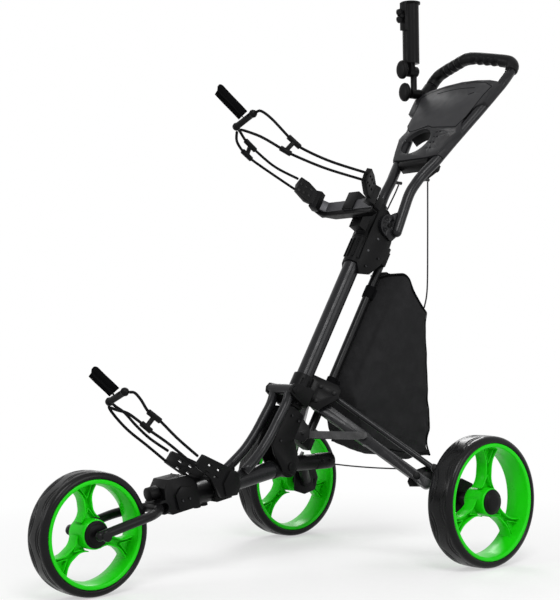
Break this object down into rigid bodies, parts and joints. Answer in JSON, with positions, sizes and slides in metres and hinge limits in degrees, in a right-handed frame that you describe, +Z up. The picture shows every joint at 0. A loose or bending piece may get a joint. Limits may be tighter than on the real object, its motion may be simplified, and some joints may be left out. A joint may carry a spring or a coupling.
{
  "type": "golf push cart",
  "caption": "Folding golf push cart with green spoked wheels, strap cradles, a console with cup hole and lid, an umbrella holder and a cloth storage bag.",
  "frame": {"origin": "centre of the bounding box on the ground", "axes": "+Z up, front wheel toward -Y, handle toward +Y, +X toward the cart's left"},
  "size_m": [0.712, 1.2706, 1.331],
  "materials": {
    "tyre": "glossy moulded black with faint tread grooves",
    "green": "glossy lime green moulding",
    "graphite": "satin graphite powder coat",
    "black_metal": "matt black coating",
    "black_plastic": "matt black moulded plastic",
    "console_grey": "satin charcoal moulding",
    "grip_foam": "soft matt grip",
    "band": "light grey coated strip",
    "bag_cloth": "black woven cloth",
    "webbing": "black webbing",
    "cord_black": "black braided elastic",
    "cord_grey": "grey braided cord"
  },
  "bodies": {
    "frame": {"foot_housing": "black_plastic", "upright_tube": "graphite", "bag_rail": "black_metal", "upper_bracket": "black_plastic", "cradle_box": "black_plastic", "upper_band": "band", "upper_pad_left": "black_plastic", "upper_pad_right": "black_plastic", "upper_cord_left": "cord_black", "upper_cord_right": "cord_black", "upper_slider_left": "black_plastic", "upper_slider_right": "black_plastic", "upper_buckle": "black_plastic", "upper_tab": "webbing", "storage_bag": "bag_cloth", "bag_cord_left": "cord_grey", "bag_cord_right": "cord_grey", "leg_cord": "cord_grey"},
    "collar": {"collar": "black_plastic"},
    "struts": {"strut_yoke": "graphite"},
    "front_frame": {"lower_tube": "graphite", "tube_hinge": "black_plastic", "front_block": "black_plastic", "front_fork": "black_metal", "lower_cradle": "black_plastic", "lower_pad_left": "black_plastic", "lower_pad_right": "black_plastic", "lower_cord_left": "cord_black", "lower_cord_right": "cord_black", "lower_slider": "black_plastic", "lower_buckle": "black_plastic", "lower_tab": "webbing"},
    "tracking_knob": {"tracking_knob": "black_plastic"},
    "front_wheel": {"front_wheel": "green", "front_tyre": "tyre"},
    "leg_left": {"leg_left": "graphite"},
    "leg_right": {"leg_right": "graphite"},
    "rod_left": {"link_rod_left": "graphite"},
    "rod_right": {"link_rod_right": "graphite"},
    "hub_left": {"hub_bracket_left": "black_plastic"},
    "hub_right": {"hub_bracket_right": "black_plastic"},
    "bar_left": {"link_bar_left": "black_metal"},
    "bar_right": {"link_bar_right": "black_metal"},
    "wheel_left": {"rear_wheel_left": "green", "rear_tyre_left": "tyre"},
    "wheel_right": {"rear_wheel_right": "green", "rear_tyre_right": "tyre"},
    "handle": {"handle_tube": "graphite", "grip": "grip_foam", "console_body": "console_grey", "console_mount": "black_plastic", "umbrella_clamp": "black_plastic"},
    "lid": {"console_lid": "console_grey"},
    "lever": {"release_lever": "black_plastic"},
    "elbow": {"umbrella_elbow": "black_plastic"},
    "umbrella": {"umbrella_tube": "black_plastic"},
    "knob_low": {"umbrella_knob_low": "black_plastic"},
    "knob_top": {"umbrella_knob_top": "black_plastic"},
    "screw": {"umbrella_screw": "black_plastic"}
  },
  "joints": [
    {"name": "collar_slide", "type": "slide", "parent": "frame", "child": "collar", "axis": [0, 0.515, 0.8572], "range_m": [0, 0.15], "deforming": ["leg_cord"]},
    {"name": "front_fold", "type": "hinge", "parent": "frame", "child": "front_frame", "pos_m": [0, -0.01582, 0.214], "axis": [1, 0, 0], "range_deg": [-61.77, 0]},
    {"name": "strut_swing", "type": "hinge", "parent": "collar", "child": "struts", "pos_m": [0, -0.01621, 0.38078], "axis": [1, 0, 0], "range_deg": [-5.17, 0]},
    {"name": "leg_fold_left", "type": "hinge", "parent": "collar", "child": "leg_left", "pos_m": [0.01895, 0.06494, 0.34602], "axis": [0.6871, -0.6228, 0.3742], "range_deg": [-46.23, 0]},
    {"name": "rod_swing_left", "type": "hinge", "parent": "collar", "child": "rod_left", "pos_m": [0.04148, 0.09864, 0.36077], "axis": [0.6871, -0.6228, 0.3742], "range_deg": [-46.23, 0]},
    {"name": "hub_swing_left", "type": "hinge", "parent": "leg_left", "child": "hub_left", "pos_m": [0.20932, 0.18164, 0.19074], "axis": [0.6871, -0.6228, 0.3742], "range_deg": [0, 46.23]},
    {"name": "bar_swing_left", "type": "hinge", "parent": "frame", "child": "bar_left", "pos_m": [0.03071, 0.01505, 0.2815], "axis": [0.6871, -0.6228, 0.3742], "range_deg": [0, 42.02]},
    {"name": "wheel_spin_left", "type": "hinge", "parent": "hub_left", "child": "wheel_left", "pos_m": [0.318, 0.26918, 0.14], "axis": [1, 0, 0], "continuous": true},
    {"name": "leg_fold_right", "type": "hinge", "parent": "collar", "child": "leg_right", "pos_m": [-0.01895, 0.06494, 0.34602], "axis": [0.6871, 0.6228, -0.3742], "range_deg": [-46.23, 0]},
    {"name": "rod_swing_right", "type": "hinge", "parent": "collar", "child": "rod_right", "pos_m": [-0.04148, 0.09864, 0.36077], "axis": [0.6871, 0.6228, -0.3742], "range_deg": [-46.23, 0]},
    {"name": "hub_swing_right", "type": "hinge", "parent": "leg_right", "child": "hub_right", "pos_m": [-0.20932, 0.18164, 0.19074], "axis": [0.6871, 0.6228, -0.3742], "range_deg": [0, 46.23]},
    {"name": "bar_swing_right", "type": "hinge", "parent": "frame", "child": "bar_right", "pos_m": [-0.03071, 0.01505, 0.2815], "axis": [0.6871, 0.6228, -0.3742], "range_deg": [0, 42.02]},
    {"name": "wheel_spin_right", "type": "hinge", "parent": "hub_right", "child": "wheel_right", "pos_m": [-0.318, 0.26918, 0.14], "axis": [1, 0, 0], "continuous": true},
    {"name": "front_wheel_spin", "type": "hinge", "parent": "front_frame", "child": "front_wheel", "pos_m": [0, -0.51382, 0.1215], "axis": [1, 0, 0], "continuous": true},
    {"name": "tracking_turn", "type": "hinge", "parent": "front_frame", "child": "tracking_knob", "pos_m": [0, -0.35594, 0.18649], "axis": [0, -0.9863, -0.165], "continuous": true},
    {"name": "handle_fold", "type": "hinge", "parent": "frame", "child": "handle", "pos_m": [0, 0.28175, 0.74657], "axis": [1, 0, 0], "range_deg": [0, 40]},
    {"name": "lid_open", "type": "hinge", "parent": "handle", "child": "lid", "pos_m": [0, 0.57184, 1.10638], "axis": [-1, 0, 0], "range_deg": [0, 100]},
    {"name": "lever_pull", "type": "hinge", "parent": "handle", "child": "lever", "pos_m": [0.026, 0.43685, 0.8918], "axis": [1, 0, 0], "range_deg": [0, 20]},
    {"name": "holder_swing", "type": "hinge", "parent": "handle", "child": "elbow", "pos_m": [-0.134, 0.55918, 1.1], "axis": [0, 1, 0], "range_deg": [-60, 0]},
    {"name": "holder_tilt", "type": "hinge", "parent": "elbow", "child": "umbrella", "pos_m": [-0.134, 0.53918, 1.156], "axis": [0, 1, 0], "range_deg": [-75, 20]},
    {"name": "low_knob_turn", "type": "hinge", "parent": "elbow", "child": "knob_low", "pos_m": [-0.134, 0.52418, 1.1], "axis": [0, 1, 0], "continuous": true},
    {"name": "top_knob_turn", "type": "hinge", "parent": "umbrella", "child": "knob_top", "pos_m": [-0.134, 0.51918, 1.156], "axis": [0, 1, 0], "continuous": true},
    {"name": "screw_turn", "type": "hinge", "parent": "umbrella", "child": "screw", "pos_m": [-0.134, 0.50918, 1.292], "axis": [0, 1, 0], "continuous": true}
  ],
  "couplings": [
    {"joint": "front_fold", "follows": "collar_slide", "rad_per_m": -7.186},
    {"joint": "strut_swing", "follows": "collar_slide", "rad_per_m": -0.6},
    {"joint": "leg_fold_left", "follows": "collar_slide", "rad_per_m": -5.377},
    {"joint": "rod_swing_left", "follows": "collar_slide", "rad_per_m": -5.377},
    {"joint": "hub_swing_left", "follows": "collar_slide", "rad_per_m": 5.377},
    {"joint": "bar_swing_left", "follows": "collar_slide", "rad_per_m": 4.887},
    {"joint": "leg_fold_right", "follows": "collar_slide", "rad_per_m": -5.377},
    {"joint": "rod_swing_right", "follows": "collar_slide", "rad_per_m": -5.377},
    {"joint": "hub_swing_right", "follows": "collar_slide", "rad_per_m": 5.377},
    {"joint": "bar_swing_right", "follows": "collar_slide", "rad_per_m": 4.887}
  ]
}
